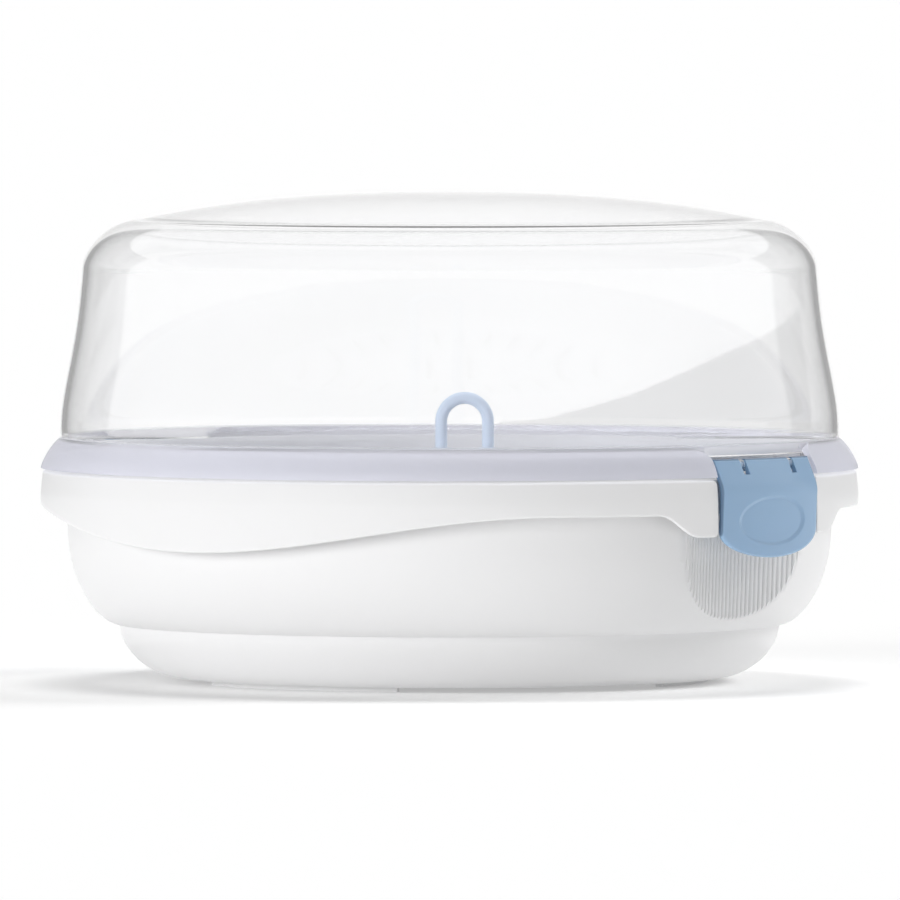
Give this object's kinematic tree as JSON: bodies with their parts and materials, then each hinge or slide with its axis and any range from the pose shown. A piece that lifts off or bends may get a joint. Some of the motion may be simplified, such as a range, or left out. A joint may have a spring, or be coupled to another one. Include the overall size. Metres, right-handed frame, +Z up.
{
  "type": "baby bottle sterilizer",
  "caption": "Round two-tier microwave steam sterilizer with a clear dome lid, side clips, a wave-edged rim ring and a lift-out slotted tray.",
  "frame": {"origin": "centre of the round footprint, on the surface that the feet stand on", "axes": "+Z up; the two side clips lie on +X and -X; the front and back low points of the wave edge lie on -Y and +Y"},
  "size_m": [0.2824, 0.278, 0.166],
  "materials": {
    "white_plastic": "smooth moulded white plastic with a soft gloss",
    "pale_blue_plastic": "smooth moulded pale blue plastic, slightly translucent",
    "clear_plastic": "clear polished plastic",
    "blue_plastic": "smooth glossy blue plastic",
    "pin_plastic": "smooth blue plastic rod"
  },
  "bodies": {
    "base": {"base_bowl": "white_plastic", "rim_ring": "white_plastic"},
    "tray": {"tray": "pale_blue_plastic", "lift_loop": "pale_blue_plastic"},
    "lid": {"lid": "clear_plastic", "hinge_pin_right": "pin_plastic", "hinge_pin_left": "pin_plastic"},
    "clip_right": {"clip_right": "blue_plastic"},
    "clip_left": {"clip_left": "blue_plastic"}
  },
  "joints": [
    {"name": "lid_lift", "type": "slide", "parent": "base", "child": "lid", "axis": [0, 0, 1], "range_m": [0, 0.12]},
    {"name": "tray_lift", "type": "slide", "parent": "base", "child": "tray", "axis": [0, 0, 1], "range_m": [0, 0.062]},
    {"name": "clip_right_swing", "type": "hinge", "parent": "lid", "child": "clip_right", "pos_m": [0.1336, 0, 0.0762], "axis": [0, -1, 0], "range_deg": [0, 100]},
    {"name": "clip_left_swing", "type": "hinge", "parent": "lid", "child": "clip_left", "pos_m": [-0.1336, 0, 0.0762], "axis": [0, 1, 0], "range_deg": [0, 100]}
  ]
}
